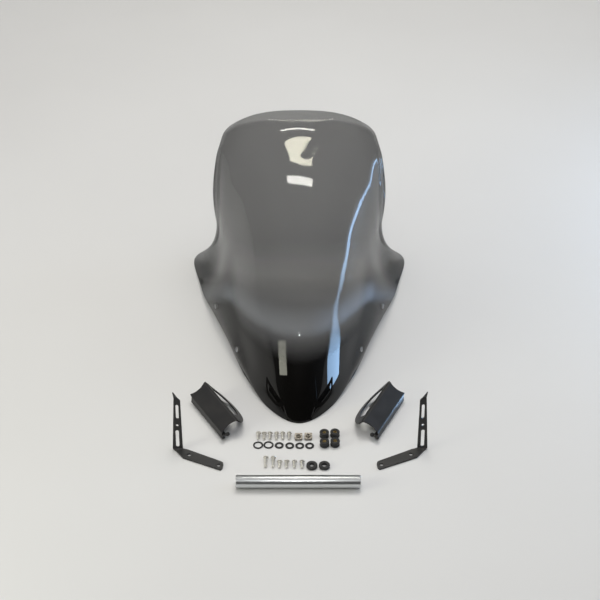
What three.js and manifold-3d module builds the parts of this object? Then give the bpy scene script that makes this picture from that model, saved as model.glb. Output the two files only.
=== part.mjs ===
// Motorcycle windscreen kit, laid out loose: a smoked screen with side ears that
// stands on its nose and its two ear tips, two slotted angle brackets, two
// channel brackets, a crossbar with threaded inserts, and its screws, clip nuts,
// rubber well nuts and rings. Millimetres, +Z up, floor at z = 0, +Y towards the
// screen's top edge, origin in the middle of the laid-out kit on the floor.
import * as THREE from "three";
import { mergeVertices } from "three/addons/utils/BufferGeometryUtils.js";
import Module from "manifold-3d";

// ---------------------------------------------------------------- driving dimensions
const GAP = 0.3;                    // clearance between touching pieces

// windscreen
const PANE_THICKNESS = 3.5;
const PANE_HOLE_DIAMETER = 10;
const PANE_HOLES = [[4.3, 6.75], [2.25, 5.25]];   // [station, column] on each side
// rows: nose edge to top edge; columns: centre line (0), side crease (4), free edge (8)
const PANE_STATIONS = [
  [[0, -205.9, 0], [18.7, -200.5, 0], [35.4, -188.1, 0], [51.4, -170.3, 0], [66.9, -147.8, 0], [75.6, -130.4, 1], [84.3, -112.9, 2], [93.1, -95.4, 3], [101.8, -77.9, 4]],
  [[0, -190, 29.3], [23.7, -183.4, 27.5], [44.8, -168, 23.5], [65, -145.6, 17.6], [84.7, -117, 10], [92.8, -97.6, 9.5], [100.9, -78.3, 9], [109, -59, 8.5], [117.1, -39.6, 8]],
  [[0, -167.2, 65.2], [27.2, -158.9, 62.3], [51.5, -139.4, 55.6], [74.8, -110.8, 45.7], [97.4, -73.9, 33], [109.7, -53.6, 28.1], [120.3, -32.7, 22.8], [128.6, -10.9, 17.1], [135.2, 11.6, 11]],
  [[0, -140.5, 99.9], [30, -131.6, 96.2], [56.8, -109.8, 87.1], [82.4, -77.4, 73.6], [107.4, -35.3, 56], [121.9, -12, 45.6], [134.7, 12, 34.8], [145.2, 37, 23.6], [154.1, 62.6, 12]],
  [[0, -110, 131.6], [32.6, -100.6, 127.3], [61.7, -77, 116.4], [89.6, -41.3, 99.8], [116.7, 5.7, 78], [133.4, 30.3, 62.1], [148.5, 55.6, 45.8], [161.2, 81.8, 29.1], [172.2, 108.7, 12]],
  [[0, -74.8, 160.1], [34.2, -65.3, 155.2], [64.8, -40.7, 142.5], [94.1, -2.9, 122.9], [122.6, 47.2, 97], [142.2, 72.8, 76.1], [160.2, 99.1, 54.8], [175.9, 126.3, 33.1], [189.9, 154.2, 11]],
  [[0, -34.6, 185.5], [35.1, -25.7, 180.2], [66.4, -1.5, 165.9], [96.5, 36.5, 143.4], [125.7, 87.7, 113], [149.9, 126.3, 78], [171.3, 167.6, 42], [189, 194.4, 20], [204.3, 212.2, 7]],
  [[0, 4.3, 206], [36.1, 12.6, 200.6], [68.4, 36.1, 185.3], [99.3, 73.9, 160.7], [129.4, 125.6, 127], [151.1, 174, 86], [170.5, 213.7, 52], [195.6, 242.8, 29], [219.7, 283.8, 0]],
  [[0, 42.9, 223.3], [37.6, 50.7, 217.9], [71.2, 73.7, 202.1], [103.4, 111.7, 176.1], [134.8, 164.5, 140], [153.1, 204.1, 100], [168.4, 234.8, 68], [188.2, 265.3, 42], [208.3, 299.5, 14]],
  [[0, 83.8, 239.7], [39.9, 91.3, 234], [75.5, 112.9, 218.3], [109.7, 149.7, 191.4], [142.9, 202, 153], [154.8, 225.8, 125.2], [162.1, 244.2, 102], [170.8, 260.7, 82.6], [169.4, 271.2, 64]],
  [[0, 125.1, 254.7], [41.9, 132.4, 250], [79.3, 151.3, 235], [115.1, 184.9, 208.1], [150, 234, 168.4], [157.2, 246.2, 151.5], [162, 255.7, 137.2], [166.5, 265, 123.9], [167.9, 272.4, 112]],
  [[0, 168.6, 269.3], [43, 174.9, 265.9], [81.4, 189.5, 252.9], [118.2, 217.2, 228.1], [154.1, 259.3, 189.8], [158.7, 265.5, 180.6], [164.5, 269.8, 170.5], [168, 275.5, 163.5], [172.7, 278.8, 158]],
  [[0, 216.4, 284.4], [42.8, 219.2, 281.8], [81, 228.9, 272.3], [117.6, 248.9, 252.2], [153.3, 281.5, 219.2], [157.3, 285.6, 213.8], [162.9, 287.9, 207.8], [166.5, 292.2, 203], [171.4, 293.9, 199]],
  [[0, 263.9, 298.6], [41.5, 264.7, 297.7], [78.6, 269.4, 292.4], [114.1, 281.4, 279], [148.7, 303.7, 254.2], [152.8, 307.2, 250.2], [157, 311, 246.1], [161.1, 314.9, 241.6], [165.2, 319.1, 237]],
  [[0, 311.1, 311.9], [38.7, 311.3, 311.5], [73.2, 313, 308.6], [106.3, 318.7, 298.8], [138.5, 331.4, 277], [143.2, 334.1, 272.5], [148, 337, 267.4], [152.7, 340.2, 262], [157.4, 343.6, 256]],
  [[0, 325.8, 316], [36.4, 325.9, 315.8], [68.9, 327.4, 313.7], [100, 332.6, 306.1], [130.3, 344.9, 288.2], [135.6, 348.2, 283.5], [140.9, 351.8, 278.3], [146.2, 355.8, 272.5], [151.5, 360.3, 266]],
  [[0, 339.8, 327.1], [32.9, 340.3, 326.3], [62.3, 342.7, 322.2], [90.5, 348.3, 312.6], [117.9, 358.1, 295.8], [123.1, 360.5, 291.7], [128.3, 363.2, 287.1], [133.5, 366, 282.3], [138.7, 369.1, 277]],
];

// slotted angle bracket (right-hand), strip steel
const STRIP_THICKNESS = 3;
const FOLD_X = 208.3;
const FOLD_Y = -269.3;
const FOOT_OUTLINE = [[217, -269], [199.6, -269.4], [132.6, -302.2], [129.2, -304.6], [128.2, -309.8], [129.4, -318.5], [132.4, -322.0], [197.8, -293.0], [211.1, -276.0]];
const FOOT_HOLES = [[187.5, -286.6], [136.2, -311.4]];
const FOOT_HOLE_DIAMETER = 6.5;
const LEG_LENGTH = 100;
const LEG_LEAN = 76;                // degrees from the floor
const LEG_OUTLINE = [[-8.7, 0], [8.7, 0], [3.6, 100], [-7.4, 94]];
const LEG_SLOTS = [[-0.2, 21.5, 33, 6], [-1.5, 73, 27, 5]];       // x, height, length, width
const LEG_HOLE = [-0.9, 47, 4.6];                                   // x, height, diameter
const TAB_OUTLINE = [[-7.2, -4.5], [3.5, -1.5], [6.4, 10.4], [4.4, 10.8]];
const TAB_LEAN = 40;
const BRACKET_RIGHT_SHIFT = [3.0, 1.4];

// channel bracket, own frame [along, across, up]
const CHANNEL_SHEET = 2.2;
const CHANNEL_LENGTH = 122;
const CHANNEL_SECTION = [[-31, 3.5], [-29.5, 15], [0, 30], [27.5, 1.4]];   // [across, up]
const SADDLE_RADIUS = 24;
const SADDLE_DEPTH = 7;
const SADDLE_B = -15;
const INNER_EDGE = [[0, 3], [10, 9], [22, 16], [36, 22.5], [52, 26.8], [68, 28], [84, 26.5], [98, 22.6], [110, 17], [118, 11], [122, 6]];
const WINDOW_OUTLINE = [[15, 4], [58, 4], [62, 8.5], [72, 8.5], [76, 4.5], [100, 4.5], [98, 12], [90, 17.5], [78, 21], [64, 22.4], [50, 21.2], [36, 17], [24, 11]];
const OUTER_STEP = 9;
const TAB_B = -25.6;
const TAB_Z = 8.4;
const KNOB_DIAMETER = 7.6;
const KNOB_SPACING = 10.5;
const CHANNEL_LEFT = { pos: [-171.3, -128.2], dir: [0.530, -0.848] };
const CHANNEL_RIGHT = { pos: [163.8, -126.5], dir: [-0.4565, -0.8897] };

// crossbar
const CROSSBAR_DIAMETER = 22;
const CROSSBAR_WALL = 2;
const CROSSBAR_LENGTH = 206;
const CROSSBAR_POS = [-1.7, -358];
const INSERT_LENGTH = 16;
const INSERT_THREAD = 5.2;
const INSERT_RECESS = 1.0;

// screws: M5 button head, socket across 3.2
const SCREW_DIAMETER = 5;
const SCREW_HEAD_DIAMETER = 9.5;
const SCREW_HEAD_HEIGHT = 2.75;
const SCREW_SOCKET = 3.2;
const SHORT_SCREW_LENGTH = 12;
const LONG_SCREW_LENGTH = 20;
const SHORT_SCREWS = [[-70.8, -240.2], [-60.7, -240.6], [-50.6, -240.2], [-39.1, -240.4], [-28.5, -240.2], [-17.2, -240.4]];
const LONG_SCREWS = [[-56.6, -304.4], [-43.9, -304.6]];
const FRONT_SCREWS = [[-33.1, -309.6], [-21.0, -309.4], [-7.9, -309.6], [4.9, -309.8]];

// clip nuts: folded spring strip with a threaded barrel
const CLIP_WIDTH = 13.2;
const CLIP_LENGTH = 15.5;
const CLIP_SHEET = 0.8;
const CLIP_GAP = 2.4;
const CLIP_HOLE = 5.6;
const CLIP_BARREL = 8.4;
const BARREL_HEIGHT = 2.6;
const CLIP_NUTS = [[-1.2, -242.1], [15.8, -241.3]];

// rubber well nuts and rings
const WELL_NUT = { flange: 16.5, body: 14.8, height: 10.5, flangeHeight: 2.8, bore: 7 };
const WELL_NUTS = [[43.6, -238], [62.0, -237], [43.6, -260.4], [61.8, -259.4]];
const LARGE_RING = { od: 17.5, id: 12, h: 1.4 };
const LARGE_RINGS = [[-70.8, -260.9], [-52.9, -260.4]];
const SMALL_RING = { od: 15.5, id: 8, h: 1.2 };
const SMALL_RINGS = [[-34.5, -261.4], [-16.4, -262.1], [0.9, -262.3], [17.9, -262.3]];
const THICK_RING = { od: 18.8, id: 8, h: 5 };
const THICK_RINGS = [[21.4, -312.3], [42.5, -312.3]];

// ---------------------------------------------------------------- helpers
const wasm = await Module();
wasm.setup();

const rad = (d) => (d * Math.PI) / 180;

function welded(geometry, tol = 1e-4) {
  const g = geometry.index ? geometry.clone() : geometry.clone();
  for (const name of Object.keys(g.attributes)) if (name !== "position") g.deleteAttribute(name);
  return mergeVertices(g, tol);
}

function toSolid(geometry) {
  const g = welded(geometry);
  const p = g.attributes.position;
  const vertProperties = new Float32Array(p.count * 3);
  for (let i = 0; i < p.count; i++) {
    vertProperties[3 * i] = p.getX(i);
    vertProperties[3 * i + 1] = p.getY(i);
    vertProperties[3 * i + 2] = p.getZ(i);
  }
  const idx = [];
  const src = g.index.array;
  for (let i = 0; i < src.length; i += 3) {
    const [a, b, c] = [src[i], src[i + 1], src[i + 2]];
    if (a !== b && b !== c && a !== c) idx.push(a, b, c);
  }
  return new wasm.Manifold(new wasm.Mesh({ numProp: 3, vertProperties, triVerts: new Uint32Array(idx) }));
}

function fromSolid(solid) {
  const m = solid.getMesh();
  const pos = new Float32Array(m.numVert * 3);
  for (let i = 0; i < m.numVert; i++) {
    for (let k = 0; k < 3; k++) pos[3 * i + k] = m.vertProperties[m.numProp * i + k];
  }
  const g = new THREE.BufferGeometry();
  g.setAttribute("position", new THREE.BufferAttribute(pos, 3));
  g.setIndex(new THREE.BufferAttribute(new Uint32Array(m.triVerts), 1));
  return g;
}

function polygonGeometry(vertices, triangles) {
  const g = new THREE.BufferGeometry();
  g.setAttribute("position", new THREE.BufferAttribute(new Float32Array(vertices.flat()), 3));
  g.setIndex(triangles.flat());
  return g;
}

// closed lathe profile [[r, z], ...] turned about +Z
function lathe(profile, segments) {
  const g = new THREE.LatheGeometry(profile.map(([r, z]) => new THREE.Vector2(r, z)), segments);
  g.rotateX(Math.PI / 2);
  return g;
}

// flat outline in XY pulled up by h, with holes as outlines
function plate(outline, h, holes = []) {
  const s = new THREE.Shape(outline.map(([x, y]) => new THREE.Vector2(x, y)));
  for (const hole of holes) s.holes.push(new THREE.Path(hole.map(([x, y]) => new THREE.Vector2(x, y))));
  return new THREE.ExtrudeGeometry(s, { depth: h, bevelEnabled: false, curveSegments: 1 });
}

function circle(cx, cy, r, n) {
  return Array.from({ length: n }, (_, i) => {
    const a = (2 * Math.PI * (i + 0.5)) / n;
    return [cx + r * Math.cos(a), cy + r * Math.sin(a)];
  });
}

// slot outline along Y, total length len, width w
function slot(cx, cy, len, w, n = 5) {
  const r = w / 2;
  const out = [];
  for (let i = 0; i <= n; i++) {
    const a = (Math.PI * i) / n;
    out.push([cx + r * Math.cos(a), cy + len / 2 - r + r * Math.sin(a)]);
  }
  for (let i = 0; i <= n; i++) {
    const a = Math.PI + (Math.PI * i) / n;
    out.push([cx + r * Math.cos(a), cy - len / 2 + r + r * Math.sin(a)]);
  }
  return out;
}

function flipFaces(g) {
  const a = g.index.array;
  for (let i = 0; i < a.length; i += 3) [a[i + 1], a[i + 2]] = [a[i + 2], a[i + 1]];
}

function mirrorX(geometry) {
  const g = geometry.clone();
  g.scale(-1, 1, 1);
  flipFaces(g);
  return g;
}

// natural cubic spline through 3-D points on the given knots
function splineCoefficients(x, Y) {
  const n = x.length;
  const M = Y.map(() => [0, 0, 0]);
  for (let k = 0; k < 3; k++) {
    const c = new Array(n).fill(0);
    const d = new Array(n).fill(0);
    for (let i = 1; i < n - 1; i++) {
      const h0 = x[i] - x[i - 1];
      const h1 = x[i + 1] - x[i];
      const b = 2 * (h0 + h1) - h0 * c[i - 1];
      c[i] = h1 / b;
      d[i] = (6 * ((Y[i + 1][k] - Y[i][k]) / h1 - (Y[i][k] - Y[i - 1][k]) / h0) - h0 * d[i - 1]) / b;
    }
    for (let i = n - 2; i > 0; i--) M[i][k] = d[i] - c[i] * M[i + 1][k];
  }
  return M;
}

function splineAt(x, Y, M, i, s) {
  const h = x[i + 1] - x[i];
  const a = (x[i + 1] - s) / h;
  const b = (s - x[i]) / h;
  return [0, 1, 2].map((k) => a * Y[i][k] + b * Y[i + 1][k] + (((a ** 3 - a) * M[i][k] + (b ** 3 - b) * M[i + 1][k]) * h * h) / 6);
}

const dist = (p, q) => Math.hypot(p[0] - q[0], p[1] - q[1], p[2] - q[2]);

// ---------------------------------------------------------------- windscreen
// The outer skin is a smooth surface through PANE_STATIONS: each row is one
// cross-section of the right half, from the centre line out to the free edge,
// and the rows run from the nose up to the flared top edge.
const stationCount = PANE_STATIONS.length;
const columnCount = PANE_STATIONS[0].length;
const stationKnots = [0];
for (let i = 1; i < stationCount; i++) {
  let sum = 0;
  for (let j = 0; j < columnCount - 2; j++) sum += dist(PANE_STATIONS[i][j], PANE_STATIONS[i - 1][j]);
  stationKnots.push(stationKnots[i - 1] + sum / (columnCount - 2));
}
const columnSplines = Array.from({ length: columnCount }, (_, j) => {
  const Y = PANE_STATIONS.map((row) => row[j]);
  return { Y, M: splineCoefficients(stationKnots, Y) };
});

function paneSection(t) {
  const i = Math.min(Math.floor(t), stationCount - 2);
  const s = stationKnots[i] + (t - i) * (stationKnots[i + 1] - stationKnots[i]);
  const row = columnSplines.map(({ Y, M }) => splineAt(stationKnots, Y, M, i, s));
  const full = [...row.slice(1).reverse().map(([x, y, z]) => [-x, y, z]), ...row];
  const S = [0];
  for (let k = 1; k < full.length; k++) S.push(S[k - 1] + dist(full[k], full[k - 1]));
  const M = splineCoefficients(S, full);
  return (u) => {
    const k = Math.max(0, Math.min(full.length - 2, Math.floor(u + columnCount - 1)));
    const s2 = S[k] + (u + columnCount - 1 - k) * (S[k + 1] - S[k]);
    const p = splineAt(S, full, M, k, s2);
    return [p[0], p[1], Math.max(0, p[2])];
  };
}

function paneGrid(ts, us) {
  return ts.map((t) => {
    const f = paneSection(t);
    return us.map((u) => f(u));
  });
}

function sheetNormals(grid) {
  const n = grid.length;
  const m = grid[0].length;
  return grid.map((row, i) =>
    row.map((_, j) => {
      const a = new THREE.Vector3(...grid[i][Math.min(j + 1, m - 1)]).sub(new THREE.Vector3(...grid[i][Math.max(j - 1, 0)]));
      const b = new THREE.Vector3(...grid[Math.min(i + 1, n - 1)][j]).sub(new THREE.Vector3(...grid[Math.max(i - 1, 0)][j]));
      return a.cross(b).normalize();
    })
  );
}

function windscreenSolid() {
  const ts = [];
  for (let i = 0; i < stationCount - 1; i++) {
    ts.push(i);
    if (i < 13) ts.push(i + 0.5);
  }
  ts.push(stationCount - 1);
  const half = [0, 0.9, 1.8, 2.6, 3.3, 4, 4.6, 5.2, 6, 7, 8];
  const us = [...half.slice(1).reverse().map((u) => -u), ...half];
  const outer = paneGrid(ts, us);
  const normals = sheetNormals(outer);
  const n = ts.length;
  const m = us.length;
  const vertices = [];
  for (const row of outer) vertices.push(...row);
  for (let i = 0; i < n; i++) {
    for (let j = 0; j < m; j++) {
      const p = new THREE.Vector3(...outer[i][j]).addScaledVector(normals[i][j], -PANE_THICKNESS);
      vertices.push([p.x, p.y, Math.max(0, p.z)]);
    }
  }
  const N = n * m;
  const tri = [];
  const quad = (a, b, c, d) => tri.push([a, b, c], [a, c, d]);
  for (let i = 0; i < n - 1; i++) {
    for (let j = 0; j < m - 1; j++) {
      const a = i * m + j;
      quad(a, a + 1, a + m + 1, a + m);
      quad(N + a, N + a + m, N + a + m + 1, N + a + 1);
    }
  }
  for (let j = 0; j < m - 1; j++) {
    quad(j, N + j, N + j + 1, j + 1);
    const a = (n - 1) * m + j;
    quad(a, a + 1, N + a + 1, N + a);
  }
  for (let i = 0; i < n - 1; i++) {
    const a = i * m;
    quad(a, a + m, N + a + m, N + a);
    const b = i * m + m - 1;
    quad(b, N + b, N + b + m, b + m);
  }
  let solid = toSolid(polygonGeometry(vertices, tri));
  // four fixing holes through the two side flanges, square to the skin
  for (const [t, u] of PANE_HOLES) {
    for (const side of [-1, 1]) {
      const f = paneSection(t);
      const p = new THREE.Vector3(...f(side * u));
      const du = new THREE.Vector3(...f(side * u + 0.1)).sub(new THREE.Vector3(...f(side * u - 0.1)));
      const dt = new THREE.Vector3(...paneSection(t + 0.1)(side * u)).sub(new THREE.Vector3(...paneSection(t - 0.1)(side * u)));
      const axis = du.cross(dt).normalize();
      const drill = new THREE.CylinderGeometry(PANE_HOLE_DIAMETER / 2, PANE_HOLE_DIAMETER / 2, 16, 12);
      drill.applyQuaternion(new THREE.Quaternion().setFromUnitVectors(new THREE.Vector3(0, 1, 0), axis));
      drill.translate(p.x, p.y, p.z);
      solid = solid.subtract(toSolid(drill));
    }
  }
  return fromSolid(solid);
}

// ---------------------------------------------------------------- slotted angle bracket (right-hand one)
// A strip bent along a line parallel to X: the foot lies flat on the floor and
// turns inwards in its own plane, the slotted leg stands up from the fold and
// leans back, and its tapered end is bent back once more.
function slottedBracket() {
  const T = STRIP_THICKNESS;
  const foot = plate(FOOT_OUTLINE, T, FOOT_HOLES.map(([x, y]) => circle(x, y, FOOT_HOLE_DIAMETER / 2, 10)));
  const leg = plate(LEG_OUTLINE, T, [
    ...LEG_SLOTS.map(([x, y, l, w]) => slot(x, y, l, w)),
    circle(LEG_HOLE[0], LEG_HOLE[1], LEG_HOLE[2] / 2, 10),
  ]);
  leg.rotateX(rad(LEG_LEAN));
  leg.translate(FOLD_X, FOLD_Y, 0);
  const tab = plate(TAB_OUTLINE, T);
  tab.rotateX(rad(TAB_LEAN));
  tab.translate(FOLD_X, FOLD_Y + Math.cos(rad(LEG_LEAN)) * LEG_LENGTH - 1.2, Math.sin(rad(LEG_LEAN)) * LEG_LENGTH - 1.8);
  return fromSolid(toSolid(foot).add(toSolid(leg)).add(toSolid(tab)));
}

// ---------------------------------------------------------------- channel bracket (left-hand one, in its own frame)
// Own frame: +a runs along the bracket, b across it (negative to the outside),
// z up. A bent channel: sloping web with scooped ends, a deep inner flange with
// a long window, a short outer flange and a forked tab with two round knobs.
function sweepSection(section, thickness, a0, a1) {
  // section: polyline [[b, z], ...]; returns the strip of sheet along a
  const n = section.length;
  const left = [];
  const right = [];
  for (let i = 0; i < n; i++) {
    const p = section[Math.max(i - 1, 0)];
    const q = section[Math.min(i + 1, n - 1)];
    const d = [q[0] - p[0], q[1] - p[1]];
    const l = Math.hypot(...d);
    const nn = [-d[1] / l, d[0] / l];
    left.push([section[i][0] + (nn[0] * thickness) / 2, section[i][1] + (nn[1] * thickness) / 2]);
    right.push([section[i][0] - (nn[0] * thickness) / 2, section[i][1] - (nn[1] * thickness) / 2]);
  }
  const outline = [...left, ...right.reverse()];
  const g = plate(outline, a1 - a0);
  // extrusion runs along Z of the plate: map (x, y, z) -> (a, b, z)
  const m = new THREE.Matrix4().set(0, 0, 1, a0, 1, 0, 0, 0, 0, 1, 0, 0, 0, 0, 0, 1);
  g.applyMatrix4(m);
  return g;
}

function channelBracket() {
  const L = CHANNEL_LENGTH;
  let solid = toSolid(sweepSection(CHANNEL_SECTION, CHANNEL_SHEET, 0, L));
  const cutter = (outline, z0, z1) => {
    const g = plate(outline, z1 - z0);
    g.translate(0, 0, z0);
    return toSolid(g);
  };
  // scooped ends of the web, round saddles cut straight down
  solid = solid.subtract(cutter(circle(-SADDLE_RADIUS + SADDLE_DEPTH, SADDLE_B, SADDLE_RADIUS, 20), 3, 60));
  solid = solid.subtract(cutter(circle(L + SADDLE_RADIUS - SADDLE_DEPTH, SADDLE_B, SADDLE_RADIUS, 20), 3, 60));
  // the inner flange's free edge is an arc: cut away outside it
  solid = solid.subtract(cutter([[-5, INNER_EDGE[0][1]], ...INNER_EDGE, [CHANNEL_LENGTH + 5, INNER_EDGE[INNER_EDGE.length - 1][1]], [CHANNEL_LENGTH + 5, 80], [-5, 80]], -10, 60));
  // long three-cornered window in the inner flange
  solid = solid.subtract(cutter(WINDOW_OUTLINE, -10, 60));
  // outer flange is set back at its top end
  solid = solid.subtract(cutter([[-5, -60], [OUTER_STEP, -60], [OUTER_STEP, -29], [-5, -29]], -10, 60));
  // forked tab at the lower outer corner, with a pin that has two round knobs
  const tab = plate([[L - 14, -32], [L + 1.5, TAB_B - KNOB_SPACING / 2], [L + 1.5, TAB_B + KNOB_SPACING / 2], [L - 4, TAB_B + 3], [L - 14, TAB_B + 1]], CHANNEL_SHEET);
  tab.translate(0, 0, TAB_Z);
  solid = solid.add(toSolid(tab));
  for (const s of [-1, 1]) {
    const knob = new THREE.SphereGeometry(KNOB_DIAMETER / 2, 10, 6);
    knob.rotateX(Math.PI / 2);
    knob.translate(L + 1.2 - s * 1.2, TAB_B + (s * KNOB_SPACING) / 2, TAB_Z + 1.1);
    solid = solid.add(toSolid(knob));
  }
  return fromSolid(solid);
}

// ---------------------------------------------------------------- crossbar
function crossbarTube() {
  const l = CROSSBAR_LENGTH / 2;
  const ro = CROSSBAR_DIAMETER / 2;
  const ri = ro - CROSSBAR_WALL;
  const c = 0.8;
  const g = lathe([[ri, -l], [ro - c, -l], [ro, -l + c], [ro, l - c], [ro - c, l], [ri, l], [ri, -l]], 24);
  g.rotateY(Math.PI / 2);
  g.translate(CROSSBAR_POS[0], CROSSBAR_POS[1], ro);
  return g;
}

function crossbarInsert(side) {
  const ri = CROSSBAR_DIAMETER / 2 - CROSSBAR_WALL - GAP;
  const rh = INSERT_THREAD / 2;
  const g = lathe([[rh, 0], [rh, -INSERT_LENGTH], [ri, -INSERT_LENGTH], [ri, -0.6], [ri - 0.6, 0], [rh, 0]], 16);
  g.rotateY((side * Math.PI) / 2);
  g.translate(CROSSBAR_POS[0] + side * (CROSSBAR_LENGTH / 2 - INSERT_RECESS), CROSSBAR_POS[1], CROSSBAR_DIAMETER / 2);
  return g;
}

// ---------------------------------------------------------------- fasteners
// button-head socket screw lying on its head's rim and its tip, tip to the front
function buttonScrew(x, y, length) {
  const R = SCREW_HEAD_DIAMETER / 2;
  const r = SCREW_DIAMETER / 2;
  const k = SCREW_HEAD_HEIGHT;
  const s = SCREW_SOCKET / 2;
  const profile = [
    [0, -length], [r, -length], [r, 0], [R, 0], [R - 0.15, 0.7], [R * 0.8, k * 0.72],
    [R * 0.52, k], [s, k], [s, k - 1.6], [0, k - 1.6],
  ];
  const g = lathe(profile, 10);
  const tilt = Math.atan((R * Math.cos(Math.PI / 10) - r) / length);
  g.rotateX(Math.PI / 2);          // +Z of the screw now points along -Y
  g.rotateZ(Math.PI);              // head to the back, tip to the front
  g.rotateX(tilt);
  g.computeBoundingBox();
  const bb = g.boundingBox;
  g.translate(x, y - (bb.min.y + bb.max.y) / 2, -bb.min.z);
  return g;
}

function clipNutClip(x, y) {
  const w = CLIP_WIDTH / 2;
  const l = CLIP_LENGTH / 2;
  const t = CLIP_SHEET;
  const h = CLIP_GAP + 2 * t;
  // folded strip, seen from the side: upper leaf, round fold, lower leaf
  const outer = [];
  const inner = [];
  for (let i = 0; i <= 6; i++) {
    const a = -Math.PI / 2 - (Math.PI * i) / 6;
    outer.push([-l + h / 2 + (h / 2) * Math.cos(a), h / 2 + (h / 2) * Math.sin(a)]);
    inner.push([-l + h / 2 + (h / 2 - t) * Math.cos(a), h / 2 + (h / 2 - t) * Math.sin(a)]);
  }
  const outline = [[l, 0], [l, t], ...inner, [l - 1.5, h - t], [l, h - t + 0.5], [l, h + 0.5], [l - 1.8, h], ...outer.reverse()];
  const g = plate(outline, 2 * w);
  g.rotateX(Math.PI / 2);
  g.translate(0, w, 0);
  g.rotateZ(Math.PI / 2);
  let solid = toSolid(g);
  const hole = new THREE.CylinderGeometry(CLIP_HOLE / 2, CLIP_HOLE / 2, 20, 12);
  hole.rotateX(Math.PI / 2);
  solid = solid.subtract(toSolid(hole));
  const out = fromSolid(solid);
  out.translate(x, y, 0);
  return out;
}

function clipNutBarrel(x, y) {
  const z0 = CLIP_GAP + 2 * CLIP_SHEET + GAP;
  const ro = CLIP_BARREL / 2;
  const ri = SCREW_DIAMETER / 2 - 0.3;
  const g = lathe([[ri, z0], [ro, z0], [ro - 0.3, z0 + BARREL_HEIGHT], [ri, z0 + BARREL_HEIGHT], [ri, z0]], 14);
  g.translate(x, y, 0);
  return g;
}

// rubber well nut standing on its flange, blind brass thread insert inside
function wellNutRubber(x, y) {
  const { flange, body, height, flangeHeight, bore } = WELL_NUT;
  const g = lathe([
    [bore / 2, 0], [flange / 2 - 0.5, 0], [flange / 2, 0.5], [flange / 2, flangeHeight], [body / 2, flangeHeight + 0.8],
    [body / 2, height - flangeHeight - 0.8], [flange / 2, height - flangeHeight], [flange / 2, height - 0.6], [flange / 2 - 0.6, height], [bore / 2, height], [bore / 2, 0],
  ], 14);
  g.translate(x, y, 0);
  return g;
}

function wellNutInsert(x, y) {
  const { height, bore } = WELL_NUT;
  const ro = bore / 2 - GAP;
  const ri = SCREW_DIAMETER / 2 - 0.4;
  const g = lathe([[ri, 0.6], [ro, 0.6], [ro, height - 0.8], [ri, height - 0.8], [ri, 0.6]], 12);
  g.translate(x, y, 0);
  return g;
}

function ring(x, y, od, id, h, segments) {
  const c = Math.min(0.4, h / 3);
  const g = lathe([[id / 2, 0], [od / 2 - c, 0], [od / 2, c], [od / 2, h - c], [od / 2 - c, h], [id / 2, h], [id / 2, 0]], segments);
  g.translate(x, y, 0);
  return g;
}

// ---------------------------------------------------------------- assembly
const group = new THREE.Group();
const looks = {
  smoke: { color: 0x5a5450, roughness: 0.08, metalness: 0.0, transparent: true, opacity: 0.75 },
  blackSteel: { color: 0x1d1d1e, roughness: 0.42, metalness: 0.3 },
  aluminium: { color: 0xaab0b4, roughness: 0.35, metalness: 0.9 },
  zinc: { color: 0xb9b6ae, roughness: 0.38, metalness: 0.85 },
  clipSteel: { color: 0x6e675f, roughness: 0.45, metalness: 0.8 },
  brass: { color: 0xa8894c, roughness: 0.4, metalness: 0.85 },
  rubber: { color: 0x131313, roughness: 0.7, metalness: 0.0 },
};
function put(name, geometry, look) {
  const mesh = new THREE.Mesh(welded(geometry), new THREE.MeshStandardMaterial(looks[look]));
  mesh.name = name;
  group.add(mesh);
  return mesh;
}

put("windscreen", windscreenSolid(), "smoke");

const bracket = slottedBracket();
put("slotted_bracket_left", mirrorX(bracket), "blackSteel");
const bracketRight = bracket.clone();
bracketRight.translate(BRACKET_RIGHT_SHIFT[0], BRACKET_RIGHT_SHIFT[1], 0);
put("slotted_bracket_right", bracketRight, "blackSteel");

function placed(geometry, { pos, dir }) {
  const g = geometry.clone();
  g.applyMatrix4(new THREE.Matrix4().set(dir[0], -dir[1], 0, pos[0], dir[1], dir[0], 0, pos[1], 0, 0, 1, 0, 0, 0, 0, 1));
  return g;
}
const channel = channelBracket();
const channelMirrored = channel.clone();
channelMirrored.scale(1, -1, 1);
flipFaces(channelMirrored);
put("channel_bracket_left", placed(channel, CHANNEL_LEFT), "blackSteel");
put("channel_bracket_right", placed(channelMirrored, CHANNEL_RIGHT), "blackSteel");

put("crossbar_tube", crossbarTube(), "aluminium");
put("crossbar_insert_left", crossbarInsert(-1), "zinc");
put("crossbar_insert_right", crossbarInsert(1), "zinc");

SHORT_SCREWS.forEach(([x, y], i) => put(`short_screw_${i + 1}`, buttonScrew(x, y, SHORT_SCREW_LENGTH), "zinc"));
LONG_SCREWS.forEach(([x, y], i) => put(`long_screw_${i + 1}`, buttonScrew(x, y, LONG_SCREW_LENGTH), "zinc"));
FRONT_SCREWS.forEach(([x, y], i) => put(`front_screw_${i + 1}`, buttonScrew(x, y, SHORT_SCREW_LENGTH), "zinc"));
CLIP_NUTS.forEach(([x, y], i) => {
  put(`clip_nut_${i + 1}`, clipNutClip(x, y), "clipSteel");
  put(`clip_nut_${i + 1}_barrel`, clipNutBarrel(x, y), "clipSteel");
});
WELL_NUTS.forEach(([x, y], i) => {
  put(`well_nut_${i + 1}`, wellNutRubber(x, y), "rubber");
  put(`well_nut_${i + 1}_insert`, wellNutInsert(x, y), "brass");
});
LARGE_RINGS.forEach(([x, y], i) => put(`large_ring_${i + 1}`, ring(x, y, LARGE_RING.od, LARGE_RING.id, LARGE_RING.h, 20), "rubber"));
SMALL_RINGS.forEach(([x, y], i) => put(`small_ring_${i + 1}`, ring(x, y, SMALL_RING.od, SMALL_RING.id, SMALL_RING.h, 16), "rubber"));
THICK_RINGS.forEach(([x, y], i) => put(`thick_ring_${i + 1}`, ring(x, y, THICK_RING.od, THICK_RING.id, THICK_RING.h, 20), "rubber"));

export default group;
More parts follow.
